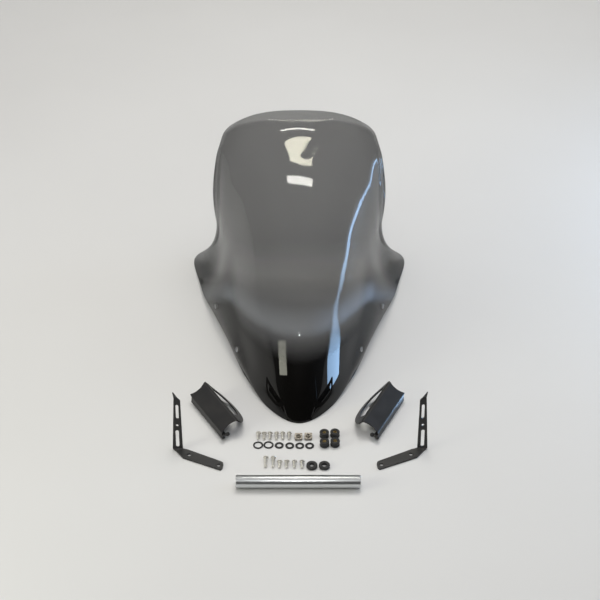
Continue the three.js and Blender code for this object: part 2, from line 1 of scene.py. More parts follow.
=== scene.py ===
import math
import bpy
import bmesh
import numpy as np
from mathutils import Vector, Matrix
from mathutils.geometry import tessellate_polygon


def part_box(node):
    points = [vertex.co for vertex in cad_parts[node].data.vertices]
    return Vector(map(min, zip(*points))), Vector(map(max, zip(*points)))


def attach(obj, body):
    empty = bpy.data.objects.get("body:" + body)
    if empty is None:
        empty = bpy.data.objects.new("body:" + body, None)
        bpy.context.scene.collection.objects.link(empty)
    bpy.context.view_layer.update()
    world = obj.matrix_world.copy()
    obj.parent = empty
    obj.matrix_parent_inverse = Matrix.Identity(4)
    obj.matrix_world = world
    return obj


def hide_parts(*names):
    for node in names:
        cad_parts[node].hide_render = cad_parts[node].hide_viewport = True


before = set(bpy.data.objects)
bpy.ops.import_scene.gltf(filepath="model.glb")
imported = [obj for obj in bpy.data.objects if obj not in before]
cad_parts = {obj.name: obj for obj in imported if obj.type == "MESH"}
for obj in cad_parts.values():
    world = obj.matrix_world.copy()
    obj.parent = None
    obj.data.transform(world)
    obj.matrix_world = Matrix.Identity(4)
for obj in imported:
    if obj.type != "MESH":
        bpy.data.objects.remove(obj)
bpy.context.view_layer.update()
scene = bpy.context.scene
scene.view_settings.view_transform = "Standard"
scene.view_settings.look = "None"
scene.view_settings.exposure = 0.0
scene.view_settings.gamma = 1.0
MM = 0.001

# ------------------------------------------------------------------ materials


def material(name):
    m = bpy.data.materials.new(name)
    m.use_nodes = True
    nt = m.node_tree
    nt.nodes.clear()
    out = nt.nodes.new("ShaderNodeOutputMaterial")
    p = nt.nodes.new("ShaderNodeBsdfPrincipled")
    nt.links.new(p.outputs["BSDF"], out.inputs["Surface"])
    co = nt.nodes.new("ShaderNodeTexCoord")
    return m, nt, p, co


def noise(nt, co, scale, detail=3.0, stretch=(1, 1, 1), rough=0.5):
    mp = nt.nodes.new("ShaderNodeMapping")
    mp.inputs["Scale"].default_value = stretch
    nt.links.new(co.outputs["Object"], mp.inputs["Vector"])
    n = nt.nodes.new("ShaderNodeTexNoise")
    n.inputs["Scale"].default_value = scale
    n.inputs["Detail"].default_value = detail
    n.inputs["Roughness"].default_value = rough
    nt.links.new(mp.outputs["Vector"], n.inputs["Vector"])
    return n.outputs["Fac"]


def ramp(nt, fac, stops):
    r = nt.nodes.new("ShaderNodeValToRGB")
    e = r.color_ramp.elements
    while len(e) < len(stops):
        e.new(0.5)
    for el, (pos, col) in zip(e, stops):
        el.position = pos
        el.color = (*col, 1) if len(col) == 3 else col
    nt.links.new(fac, r.inputs["Fac"])
    return r.outputs["Color"]


def spread(nt, fac, lo, hi):
    r = nt.nodes.new("ShaderNodeMapRange")
    r.inputs["From Min"].default_value = 0.3
    r.inputs["From Max"].default_value = 0.7
    r.inputs["To Min"].default_value = lo
    r.inputs["To Max"].default_value = hi
    nt.links.new(fac, r.inputs["Value"])
    return r.outputs["Result"]


def bump(nt, p, fac, strength, distance):
    b = nt.nodes.new("ShaderNodeBump")
    b.inputs["Strength"].default_value = strength
    b.inputs["Distance"].default_value = distance
    nt.links.new(fac, b.inputs["Height"])
    nt.links.new(b.outputs["Normal"], p.inputs["Normal"])


def surface(name, dark, light, metal, r_lo, r_hi, grain=900.0, blotch=60.0, bump_strength=0.15,
            stretch=(1, 1, 1)):
    m, nt, p, co = material(name)
    big = noise(nt, co, blotch, 4.0, stretch)
    fine = noise(nt, co, grain, 2.0, stretch)
    nt.links.new(ramp(nt, big, [(0.3, dark), (0.7, light)]), p.inputs["Base Color"])
    nt.links.new(spread(nt, big, r_lo, r_hi), p.inputs["Roughness"])
    bump(nt, p, fine, bump_strength, 0.0002)
    p.inputs["Metallic"].default_value = metal
    return m


black_steel = surface("satin_black_steel", (0.012, 0.012, 0.013), (0.020, 0.019, 0.019), 0.0, 0.36, 0.46, 1400.0, 45.0, 0.12)
aluminium = surface("drawn_aluminium", (0.52, 0.53, 0.53), (0.63, 0.65, 0.66), 1.0, 0.24, 0.34, 260.0, 30.0, 0.10, (0.06, 1, 1))
zinc = surface("zinc_plate", (0.74, 0.72, 0.67), (0.86, 0.84, 0.80), 0.85, 0.36, 0.50, 1200.0, 220.0, 0.10)
clip_steel = surface("clip_spring_steel", (0.26, 0.235, 0.205), (0.38, 0.35, 0.31), 1.0, 0.34, 0.48, 1200.0, 160.0, 0.12)
brass = surface("brass", (0.20, 0.145, 0.065), (0.30, 0.22, 0.10), 1.0, 0.26, 0.40, 1200.0, 200.0, 0.10)
rubber = surface("rubber_black", (0.010, 0.010, 0.010), (0.018, 0.018, 0.019), 0.0, 0.48, 0.62, 1500.0, 120.0, 0.25)


def pane_material():
    """Smoked acrylic. "clear" is how much light one skin lets through; the second attribute mixes in a lighter
    bluish-grey colour along the edge of the black fade.
    """
    m, nt, p, co = material("smoked_acrylic")
    at = nt.nodes.new("ShaderNodeAttribute")
    at.attribute_name = "clear"
    hz = nt.nodes.new("ShaderNodeAttribute")
    hz.attribute_name = "grey_band"
    inv = nt.nodes.new("ShaderNodeMath")
    inv.operation = "SUBTRACT"
    inv.inputs[0].default_value = 1.0
    nt.links.new(at.outputs["Fac"], inv.inputs[1])
    nt.links.new(inv.outputs["Value"], p.inputs["Alpha"])
    mix = nt.nodes.new("ShaderNodeMix")
    mix.data_type = "RGBA"
    mix.inputs["A"].default_value = (0.0045, 0.0042, 0.0040, 1)
    mix.inputs["B"].default_value = (0.150, 0.165, 0.185, 1)
    nt.links.new(hz.outputs["Fac"], mix.inputs["Factor"])
    nt.links.new(mix.outputs["Result"], p.inputs["Base Color"])
    n = noise(nt, co, 14.0, 2.0)
    nt.links.new(spread(nt, n, 0.015, 0.03), p.inputs["Roughness"])
    p.inputs["IOR"].default_value = 1.49
    p.inputs["Specular IOR Level"].default_value = 0.32
    return m


# ------------------------------------------------------------------ mesh helpers


def to_object(name, verts, faces, mat, node, body, smooth=True, sharp=38.0, bevel=None, attrs=None):
    me = bpy.data.meshes.new(name)
    me.from_pydata([tuple(float(c) * MM for c in v) for v in verts], [], [tuple(int(i) for i in f) for f in faces])
    me.validate(verbose=False)
    me.update()
    for key, values in (attrs or {}).items():
        a = me.attributes.new(key, "FLOAT", "POINT")
        a.data.foreach_set("value", np.asarray(values, np.float32))
    me.materials.append(mat)
    if smooth:
        me.shade_smooth()
        me.set_sharp_from_angle(angle=math.radians(sharp))
    ob = bpy.data.objects.new(name, me)
    scene.collection.objects.link(ob)
    if bevel:
        b = ob.modifiers.new("bevel", "BEVEL")
        b.width = bevel * MM
        b.segments = 2
        b.limit_method = "ANGLE"
        b.angle_limit = math.radians(sharp)
        b.harden_normals = True
    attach(ob, body)
    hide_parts(*([node] if isinstance(node, str) else node))
    return ob


def lathe(profile, n=48, closed=False, radius=None):
    """Verts and faces of a profile [[r, z], ...] turned about Z, counter-clockwise seen with r to the right and z up."""
    verts, rings = [], []
    for r, z in profile:
        if r < 1e-9:
            rings.append([len(verts)] * n)
            verts.append((0.0, 0.0, z))
            continue
        rings.append(list(range(len(verts), len(verts) + n)))
        for k in range(n):
            a = 2 * math.pi * k / n
            q = radius(a, z, r) if radius else r
            verts.append((q * math.cos(a), q * math.sin(a), z))
    faces = []
    m = len(profile)
    for i in range(m if closed else m - 1):
        a, b = rings[i], rings[(i + 1) % m]
        for k in range(n):
            q = [a[k], a[(k + 1) % n], b[(k + 1) % n], b[k]]
            f = [v for j, v in enumerate(q) if v != q[j - 1]]
            if len(f) > 2:
                faces.append(f)
    return verts, faces


def joined(*parts):
    verts, faces = [], []
    for v, f in parts:
        o = len(verts)
        verts += [tuple(p) for p in v]
        faces += [tuple(i + o for i in q) for q in f]
    return verts, faces


def moved(part, matrix):
    v, f = part
    flip = matrix.determinant() < 0
    return [tuple(matrix @ Vector(p)) for p in v], [tuple(reversed(q)) if flip else tuple(q) for q in f]


def rounded(points, radius, steps=4):
    """The closed outline with its corners rounded."""
    out = []
    n = len(points)
    for i in range(n):
        p, a, b = (Vector(points[i]), Vector(points[i - 1]), Vector(points[(i + 1) % n]))
        u, v = (a - p), (b - p)
        lu, lv = u.length, v.length
        u, v = u / lu, v / lv
        ang = math.acos(max(-1, min(1, u.dot(v))))
        if ang > math.radians(168):
            out.append(tuple(p))
            continue
        d = min(radius / math.tan(ang / 2), 0.45 * lu, 0.45 * lv)
        r = d * math.tan(ang / 2)
        c = p + (u + v).normalized() * (r / math.sin(ang / 2))
        s, e = p + u * d - c, p + v * d - c
        turn = math.atan2(s.x * e.y - s.y * e.x, s.dot(e))
        for k in range(steps + 1):
            t = turn * k / steps
            q = Vector((s.x * math.cos(t) - s.y * math.sin(t), s.x * math.sin(t) + s.y * math.cos(t)))
            out.append(tuple(c + q))
    return out


def ring_points(cx, cy, r, n=28):
    return [(cx + r * math.cos(2 * math.pi * k / n), cy + r * math.sin(2 * math.pi * k / n)) for k in range(n)]


def slot_points(cx, cy, length, width, n=10):
    r = width / 2
    up = [(cx + r * math.cos(math.pi * k / n), cy + length / 2 - r + r * math.sin(math.pi * k / n)) for k in range(n + 1)]
    dn = [(cx - r * math.cos(math.pi * k / n), cy - length / 2 + r - r * math.sin(math.pi * k / n)) for k in range(n + 1)]
    return up + dn


def signed_area(pts):
    return 0.5 * sum(pts[i - 1][0] * pts[i][1] - pts[i][0] * pts[i - 1][1] for i in range(len(pts)))


def bend_path(corners, radius):
    """Maps a length along the polyline to (point, direction angle) with its corners rounded to that radius."""
    C = [Vector(c) for c in corners]
    seg = [C[i + 1] - C[i] for i in range(len(C) - 1)]
    lens = [s.length for s in seg]
    ang = [math.atan2(s.y, s.x) for s in seg]
    start = [0.0]
    for l in lens:
        start.append(start[-1] + l)
    bends = []
    for i in range(1, len(C) - 1):
        phi = math.atan2(math.sin(ang[i] - ang[i - 1]), math.cos(ang[i] - ang[i - 1]))
        r = radius[i - 1] if isinstance(radius, (list, tuple)) else radius
        d = r * math.tan(abs(phi) / 2)
        bends.append((start[i], d, r, phi, i))

    def at(s):
        for s0, d, r, phi, i in bends:
            if s0 - d < s < s0 + d:
                k = (s - (s0 - d)) / (2 * d)
                a0 = ang[i - 1]
                side = 1 if phi > 0 else -1
                p0 = C[i] - Vector((math.cos(a0), math.sin(a0))) * d
                c = p0 + Vector((-math.sin(a0), math.cos(a0))) * r * side
                a = a0 + phi * k
                return c - Vector((-math.sin(a), math.cos(a))) * r * side, a
        i = 0
        while i < len(lens) - 1 and s > start[i + 1]:
            i += 1
        return C[i] + Vector((math.cos(ang[i]), math.sin(ang[i]))) * (s - start[i]), ang[i]

    cuts = []
    for s0, d, r, phi, i in bends:
        n = max(4, int(abs(math.degrees(phi)) / 8))
        cuts += [s0 - d + 2 * d * k / n for k in range(n + 1)]
    return at, cuts, start


def bent_sheet(outline, holes, thickness, path, cuts, place):
    """A flat outline in (x, s) with holes, thickened and bent along path(s). place(x, p, q) gives the final point."""
    if signed_area(outline) < 0:
        outline = outline[::-1]
    holes = [h if signed_area(h) < 0 else h[::-1] for h in holes]
    loops = [outline, *holes]
    pts = [p for l in loops for p in l]
    tris = tessellate_polygon([[Vector((x, s, 0)) for x, s in l] for l in loops])
    n = len(pts)
    bm = bmesh.new()
    lo = [bm.verts.new((x, s, -thickness / 2)) for x, s in pts]
    hi = [bm.verts.new((x, s, thickness / 2)) for x, s in pts]
    for a, b, c in tris:
        pa, pb, pc = pts[a], pts[b], pts[c]
        if (pb[0] - pa[0]) * (pc[1] - pa[1]) - (pb[1] - pa[1]) * (pc[0] - pa[0]) < 0:
            b, c = c, b
        bm.faces.new((hi[a], hi[b], hi[c]))
        bm.faces.new((lo[a], lo[c], lo[b]))
    o = 0
    for l in loops:
        k = len(l)
        for i in range(k):
            a, b = o + i, o + (i + 1) % k
            bm.faces.new((lo[a], lo[b], hi[b], hi[a]))
        o += k
    for s in cuts:
        bmesh.ops.bisect_plane(bm, geom=bm.verts[:] + bm.edges[:] + bm.faces[:], dist=1e-5, plane_co=(0, s, 0), plane_no=(0, 1, 0))
    bmesh.ops.remove_doubles(bm, verts=bm.verts[:], dist=1e-4)
    bm.verts.index_update()
    verts = []
    for v in bm.verts:
        p, a = path(v.co.y)
        q = p + Vector((-math.sin(a), math.cos(a))) * v.co.z
        verts.append(place(v.co.x, q.x, q.y))
    faces = [tuple(v.index for v in f.verts) for f in bm.faces]
    bm.free()
    return verts, faces


def volume(part):
    v, f = part
    t = 0.0
    for q in f:
        a = Vector(v[q[0]])
        for i in range(1, len(q) - 1):
            t += a.dot(Vector(v[q[i]]).cross(Vector(v[q[i + 1]])))
    return t


def outward(part):
    v, f = part
    return (v, [tuple(reversed(q)) for q in f]) if volume(part) < 0 else part

# ------------------------------------------------------------------ windscreen
PANE_THICKNESS = 3.5
PANE_HOLE_DIAMETER = 10.0
PANE_HOLES = [(4.3, 6.75), (2.25, 5.25)]
PANE_STATIONS = np.array([
  [[0, -205.9, 0], [18.7, -200.5, 0], [35.4, -188.1, 0], [51.4, -170.3, 0], [66.9, -147.8, 0], [75.6, -130.4, 1], [84.3, -112.9, 2], [93.1, -95.4, 3], [101.8, -77.9, 4]],
  [[0, -190, 29.3], [23.7, -183.4, 27.5], [44.8, -168, 23.5], [65, -145.6, 17.6], [84.7, -117, 10], [92.8, -97.6, 9.5], [100.9, -78.3, 9], [109, -59, 8.5], [117.1, -39.6, 8]],
  [[0, -167.2, 65.2], [27.2, -158.9, 62.3], [51.5, -139.4, 55.6], [74.8, -110.8, 45.7], [97.4, -73.9, 33], [109.7, -53.6, 28.1], [120.3, -32.7, 22.8], [128.6, -10.9, 17.1], [135.2, 11.6, 11]],
  [[0, -140.5, 99.9], [30, -131.6, 96.2], [56.8, -109.8, 87.1], [82.4, -77.4, 73.6], [107.4, -35.3, 56], [121.9, -12, 45.6], [134.7, 12, 34.8], [145.2, 37, 23.6], [154.1, 62.6, 12]],
  [[0, -110, 131.6], [32.6, -100.6, 127.3], [61.7, -77, 116.4], [89.6, -41.3, 99.8], [116.7, 5.7, 78], [133.4, 30.3, 62.1], [148.5, 55.6, 45.8], [161.2, 81.8, 29.1], [172.2, 108.7, 12]],
  [[0, -74.8, 160.1], [34.2, -65.3, 155.2], [64.8, -40.7, 142.5], [94.1, -2.9, 122.9], [122.6, 47.2, 97], [142.2, 72.8, 76.1], [160.2, 99.1, 54.8], [175.9, 126.3, 33.1], [189.9, 154.2, 11]],
  [[0, -34.6, 185.5], [35.1, -25.7, 180.2], [66.4, -1.5, 165.9], [96.5, 36.5, 143.4], [125.7, 87.7, 113], [149.9, 126.3, 78], [171.3, 167.6, 42], [189, 194.4, 20], [204.3, 212.2, 7]],
  [[0, 4.3, 206], [36.1, 12.6, 200.6], [68.4, 36.1, 185.3], [99.3, 73.9, 160.7], [129.4, 125.6, 127], [151.1, 174, 86], [170.5, 213.7, 52], [195.6, 242.8, 29], [219.7, 283.8, 0]],
  [[0, 42.9, 223.3], [37.6, 50.7, 217.9], [71.2, 73.7, 202.1], [103.4, 111.7, 176.1], [134.8, 164.5, 140], [153.1, 204.1, 100], [168.4, 234.8, 68], [188.2, 265.3, 42], [208.3, 299.5, 14]],
  [[0, 83.8, 239.7], [39.9, 91.3, 234], [75.5, 112.9, 218.3], [109.7, 149.7, 191.4], [142.9, 202, 153], [154.8, 225.8, 125.2], [162.1, 244.2, 102], [170.8, 260.7, 82.6], [169.4, 271.2, 64]],
  [[0, 125.1, 254.7], [41.9, 132.4, 250], [79.3, 151.3, 235], [115.1, 184.9, 208.1], [150, 234, 168.4], [157.2, 246.2, 151.5], [162, 255.7, 137.2], [166.5, 265, 123.9], [167.9, 272.4, 112]],
  [[0, 168.6, 269.3], [43, 174.9, 265.9], [81.4, 189.5, 252.9], [118.2, 217.2, 228.1], [154.1, 259.3, 189.8], [158.7, 265.5, 180.6], [164.5, 269.8, 170.5], [168, 275.5, 163.5], [172.7, 278.8, 158]],
  [[0, 216.4, 284.4], [42.8, 219.2, 281.8], [81, 228.9, 272.3], [117.6, 248.9, 252.2], [153.3, 281.5, 219.2], [157.3, 285.6, 213.8], [162.9, 287.9, 207.8], [166.5, 292.2, 203], [171.4, 293.9, 199]],
  [[0, 263.9, 298.6], [41.5, 264.7, 297.7], [78.6, 269.4, 292.4], [114.1, 281.4, 279], [148.7, 303.7, 254.2], [152.8, 307.2, 250.2], [157, 311, 246.1], [161.1, 314.9, 241.6], [165.2, 319.1, 237]],
  [[0, 311.1, 311.9], [38.7, 311.3, 311.5], [73.2, 313, 308.6], [106.3, 318.7, 298.8], [138.5, 331.4, 277], [143.2, 334.1, 272.5], [148, 337, 267.4], [152.7, 340.2, 262], [157.4, 343.6, 256]],
  [[0, 325.8, 316], [36.4, 325.9, 315.8], [68.9, 327.4, 313.7], [100, 332.6, 306.1], [130.3, 344.9, 288.2], [135.6, 348.2, 283.5], [140.9, 351.8, 278.3], [146.2, 355.8, 272.5], [151.5, 360.3, 266]],
  [[0, 339.8, 327.1], [32.9, 340.3, 326.3], [62.3, 342.7, 322.2], [90.5, 348.3, 312.6], [117.9, 358.1, 295.8], [123.1, 360.5, 291.7], [128.3, 363.2, 287.1], [133.5, 366, 282.3], [138.7, 369.1, 277]],
], float)


def spline_moments(x, Y):
    n = len(x)
    A = np.zeros((n, n))
    B = np.zeros_like(Y)
    A[0, 0] = A[-1, -1] = 1
    for i in range(1, n - 1):
        h0, h1 = x[i] - x[i - 1], x[i + 1] - x[i]
        A[i, i - 1], A[i, i], A[i, i + 1] = h0, 2 * (h0 + h1), h1
        B[i] = 6 * ((Y[i + 1] - Y[i]) / h1 - (Y[i] - Y[i - 1]) / h0)
    return np.tensordot(np.linalg.inv(A), B, axes=(1, 0))


def spline_at(x, Y, M, i, s):
    h = x[i + 1] - x[i]
    a, b = (x[i + 1] - s) / h, (s - x[i]) / h
    return a * Y[i] + b * Y[i + 1] + ((a ** 3 - a) * M[i] + (b ** 3 - b) * M[i + 1]) * h * h / 6


N_ST, N_COL = PANE_STATIONS.shape[:2]
_chord = np.linalg.norm(np.diff(PANE_STATIONS[:, :N_COL - 2], axis=0), axis=-1).mean(1)
T_KNOTS = np.concatenate([[0], np.cumsum(_chord)])
T_MOMENTS = spline_moments(T_KNOTS, PANE_STATIONS)


def pane_section(t):
    i = max(0, min(N_ST - 2, int(math.floor(t))))
    s = T_KNOTS[i] + (t - i) * (T_KNOTS[i + 1] - T_KNOTS[i])
    row = spline_at(T_KNOTS, PANE_STATIONS, T_MOMENTS, i, s)
    full = np.concatenate([(row[::-1] * np.array([-1, 1, 1]))[:-1], row])
    S = np.concatenate([[0], np.cumsum(np.linalg.norm(np.diff(full, axis=0), axis=1))])
    M = spline_moments(S, full)

    def f(u):
        k = max(0, min(len(full) - 2, int(math.floor(u + N_COL - 1))))
        q = spline_at(S, full, M, k, S[k] + (u + N_COL - 1 - k) * (S[k + 1] - S[k]))
        return np.array([q[0], q[1], max(0.0, q[2])])
    return f


def smooth(a, b, x):
    t = min(1.0, max(0.0, (x - a) / (b - a)))  # a may be above b
    return t * t * (3 - 2 * t)


CLEAR = 0.438


def pane_clear(t, u):
    """How much light one skin lets through: even smoke above, black towards the nose, with painted light where the skin
    is made clearer to lighten shade seen through it.
    """
    w = min(abs(u), 4.4) / 4.3
    t0 = 4.0 + 0.75 * w * w
    f = min(1.0, max(0.0, (t0 + 0.15 - t) / 1.5))
    f = f * f * (3 - 2 * f) * 0.45 + f * 0.55
    if abs(u) > 4.0:
        k = smooth(4.0, 4.9, abs(u))
        g = min(1.0, max(0.0, (6.3 - t) / 3.6)) * 0.80
        if t < 2.7:
            g += 0.2 * smooth(2.7, 1.2, t)
        f = f * (1 - k) + g * k
    # painted light: the skin is made clearer in the lower middle to lighten the shadow that the pane casts on the floor
    # beneath it, and clearer along the top lip to lighten the band seen through there; the next line makes it a little
    # less clear towards the sides higher up
    gain = 1.0 + 0.69 * smooth(8.2, 4.9, t) * (1 - smooth(3.6, 4.6, abs(u))) + 0.28 * smooth(14.7, 15.1, t)
    gain *= 1.0 - 0.08 * smooth(3.0, 4.2, abs(u)) * smooth(6.0, 8.0, t)
    return CLEAR * gain * max(0.0, 1.0 - f) ** 0.5


# a lighter bluish-grey colour along the edge of the black fade, half as strong at the far sides
def pane_grey_band(t, u):
    w = min(abs(u), 4.6) / 4.3
    t0 = 4.0 + 0.75 * w * w
    d = t - t0
    up = smooth(-0.42, 0.05, d) * (1 - smooth(0.1, 1.15, d))
    return up * (1 - smooth(4.6, 5.4, abs(u)) * 0.5)


def windscreen():
    ts = [k / 7 for k in range(13 * 7)] + [13 + k / 8 for k in range(3 * 8 + 1)]
    us = [k / 7 for k in range(-8 * 7, 8 * 7 + 1)]
    G = np.array([[f(u) for u in us] for f in (pane_section(t) for t in ts)])
    n, m = G.shape[:2]
    du = np.empty_like(G)
    du[:, 1:-1] = G[:, 2:] - G[:, :-2]
    du[:, 0], du[:, -1] = G[:, 1] - G[:, 0], G[:, -1] - G[:, -2]
    dt = np.empty_like(G)
    dt[1:-1] = G[2:] - G[:-2]
    dt[0], dt[-1] = G[1] - G[0], G[-1] - G[-2]
    N = np.cross(du, dt)
    N /= np.linalg.norm(N, axis=-1, keepdims=True)
    edge = 1.0
    skin = G.copy()
    for j, k in ((0, 1), (m - 1, m - 2)):
        d = G[:, k] - G[:, j]
        skin[:, j] += d / np.linalg.norm(d, axis=-1, keepdims=True) * edge
    for i, k in ((0, 1), (n - 1, n - 2)):
        d = G[k] - G[i]
        skin[i] += d / np.linalg.norm(d, axis=-1, keepdims=True) * edge
    verts, clear, grey_band = [], [], []

    def add(P, i, j):
        verts.append((P[0], P[1], max(0.0, P[2])))
        clear.append(pane_clear(ts[i], us[j]))
        grey_band.append(pane_grey_band(ts[i], us[j]))
    for i in range(n):
        for j in range(m):
            add(skin[i, j], i, j)
    for i in range(n):
        for j in range(m):
            add(skin[i, j] - N[i, j] * PANE_THICKNESS, i, j)
    loop = [(0, j) for j in range(m)] + [(i, m - 1) for i in range(1, n)] + [(n - 1, j) for j in range(m - 2, -1, -1)] + [(i, 0) for i in range(n - 2, 0, -1)]
    base = len(verts)
    for k in (0.25, 0.75):
        for i, j in loop:
            add(G[i, j] - N[i, j] * PANE_THICKNESS * k, i, j)
    L = len(loop)
    faces = []
    o = n * m
    for i in range(n - 1):
        for j in range(m - 1):
            a = i * m + j
            faces.append((a, a + 1, a + m + 1, a + m))
            faces.append((o + a, o + a + m, o + a + m + 1, o + a + 1))
    for k in range(L):
        k2 = (k + 1) % L
        a, b = loop[k][0] * m + loop[k][1], loop[k2][0] * m + loop[k2][1]
        rings = [(a, b), (base + k, base + k2), (base + L + k, base + L + k2), (o + a, o + b)]
        for (p, q), (r, s) in zip(rings[:-1], rings[1:]):
            faces.append((p, r, s, q))
    me = bpy.data.meshes.new("windscreen_pane")
    # the finer sampling of the ear tips stays within the width of the CAD solid
    verts = [(min(219.69, max(-219.69, float(v[0]))), v[1], v[2]) for v in verts]
    me.from_pydata([tuple(float(c) * MM for c in v) for v in verts], [], faces)
    me.update()
    for key, values in (("clear", clear), ("grey_band", grey_band)):
        at = me.attributes.new(key, "FLOAT", "POINT")
        at.data.foreach_set("value", np.asarray(values, np.float32))
    ob = bpy.data.objects.new("windscreen_pane", me)
    scene.collection.objects.link(ob)
    # four fixing holes, square to the skin
    bm = bmesh.new()
    axes = []
    for t, u in PANE_HOLES:
        for side in (-1, 1):
            f = pane_section(t)
            p = f(side * u)
            a = f(side * u + 0.1) - f(side * u - 0.1)
            b = pane_section(t + 0.1)(side * u) - pane_section(t - 0.1)(side * u)
            ax = Vector(np.cross(a, b)).normalized()
            axes.append((Vector(p), ax))
            rot = Vector((0, 0, 1)).rotation_difference(ax).to_matrix().to_4x4()
            bmesh.ops.create_cone(bm, cap_ends=True, segments=40, radius1=PANE_HOLE_DIAMETER / 2 * MM, radius2=PANE_HOLE_DIAMETER / 2 * MM, depth=0.016,
                                  matrix=Matrix.Translation(Vector(p) * MM) @ rot)
    cm = bpy.data.meshes.new("drill")
    bm.to_mesh(cm)
    bm.free()
    drill = bpy.data.objects.new("drill", cm)
    scene.collection.objects.link(drill)
    mod = ob.modifiers.new("holes", "BOOLEAN")
    mod.operation = "DIFFERENCE"
    mod.solver = "EXACT"
    mod.use_self = True
    mod.object = drill
    bpy.context.view_layer.update()
    done = bpy.data.meshes.new_from_object(ob.evaluated_get(bpy.context.evaluated_depsgraph_get()))
    ob.modifiers.clear()
    ob.data = done
    bpy.data.objects.remove(drill)
    done.materials.clear()
    done.materials.append(pane_material())
    done.materials.append(surface("drilled_acrylic", (0.42, 0.42, 0.43), (0.56, 0.56, 0.57), 0.0, 0.5, 0.62, 900.0, 300.0, 0.2))
    for q in done.polygons:
        c = q.center / MM
        for p, ax in axes:
            d = c - p
            if abs(d.dot(ax)) < 9 and (d - ax * d.dot(ax)).length < PANE_HOLE_DIAMETER / 2 + 0.05 and abs(q.normal.dot(ax)) < 0.3:
                q.material_index = 1
    done.shade_smooth()
    done.set_sharp_from_angle(angle=math.radians(50))
    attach(ob, "windscreen")
    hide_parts("windscreen")
    return ob


windscreen()

# ------------------------------------------------------------------ slotted angle brackets
FOLD_X, FOLD_Y, STRIP = 208.3, -269.3, 3.0
LEAN, TAB_LEAN = math.radians(76), math.radians(40)
SHIFT = STRIP / 2 * (1 - math.cos(LEAN)) / math.sin(LEAN)
FOLD_MID_Y = FOLD_Y - STRIP / 2 * math.sin(LEAN) + SHIFT * math.cos(LEAN)


def slotted_bracket():
    foot = [(132.6, -302.2), (129.2, -304.6), (128.2, -309.8), (129.4, -318.5), (132.4, -322.0), (197.8, -293.0), (211.1, -276.0)]
    out = [(x, y - FOLD_MID_Y) for x, y in foot]
    out += [(217, 0.0), (FOLD_X + 3.6, 97.6), (FOLD_X + 6.2, 107.0), (FOLD_X + 4.6, 107.4), (FOLD_X - 7.4, 94 - SHIFT), (FOLD_X - 8.7, 0.0), (199.6, -269.4 - FOLD_MID_Y)]
    out = rounded(out, 2.2)
    holes = [ring_points(187.5, -286.6 - FOLD_MID_Y, 3.25), ring_points(136.2, -311.4 - FOLD_MID_Y, 3.25),
             slot_points(FOLD_X - 0.2, 21.5 - SHIFT, 33, 6), slot_points(FOLD_X - 1.5, 73 - SHIFT, 27, 5), ring_points(FOLD_X - 0.9, 47 - SHIFT, 2.3)]
    c1 = Vector((math.cos(LEAN), math.sin(LEAN)))
    m1 = Vector((FOLD_MID_Y, STRIP / 2))
    m2 = m1 + c1 * 97.0
    m3 = m2 + Vector((math.cos(TAB_LEAN), math.sin(TAB_LEAN))) * 20
    path, cuts, start = bend_path([(FOLD_MID_Y - 80, STRIP / 2), m1, m2, m3], [4.5, 5.0])
    return outward(bent_sheet(out, holes, STRIP, lambda s: path(s + start[1]), [c - start[1] for c in cuts], lambda x, p, q: (x, p, q)))


part = slotted_bracket()
for side, m in (("left", Matrix.Scale(-1, 4, Vector((1, 0, 0)))), ("right", Matrix.Translation((3.0, 1.4, 0)))):
    v, f = moved(part, m)
    to_object(f"slotted_strip_{side}", v, f, black_steel, f"slotted_bracket_{side}", f"slotted_bracket_{side}", bevel=0.45)

# ------------------------------------------------------------------ channel brackets
SHEET, LENGTH = 2.2, 122.0
SECTION = [(-31, 3.5), (-29.5, 15), (0, 30), (27.5, 1.4)]
CH_PATH, CH_CUTS, CH_START = bend_path(SECTION, [2.6, 3.6])
INNER_EDGE = [(0, 3), (10, 9), (22, 16), (36, 22.5), (52, 26.8), (68, 28), (84, 26.5), (98, 22.6), (110, 17), (118, 11), (122, 6)]
WINDOW_OUTLINE = [(15, 4), (58, 4), (62, 8.5), (72, 8.5), (76, 4.5), (100, 4.5), (98, 12), (90, 17.5), (78, 21), (64, 22.4), (50, 21.2), (36, 17), (24, 11)]
SADDLE_R, SADDLE_D, SADDLE_B = 24.0, 7.0, -15.0


def along(b):
    """Length along the section at that distance across."""
    for k in range(len(SECTION) - 1):
        b0, b1 = SECTION[k][0], SECTION[k + 1][0]
        if b <= b1 or k == len(SECTION) - 2:
            return CH_START[k] + (b - b0) / (b1 - b0) * (CH_START[k + 1] - CH_START[k])


def refined(points, k=4):
    """Closed or open list of points through a Catmull-Rom curve."""
    P = [np.array(p, float) for p in points]
    out = []
    for i in range(len(P) - 1):
        p0, p1, p2, p3 = P[max(i - 1, 0)], P[i], P[i + 1], P[min(i + 2, len(P) - 1)]
        for j in range(k):
            t = j / k
            out.append(tuple(0.5 * (2 * p1 + (p2 - p0) * t + (2 * p0 - 5 * p1 + 4 * p2 - p3) * t * t + (3 * p1 - p0 - 3 * p2 + p3) * t ** 3)))
    out.append(tuple(P[-1]))
    return out


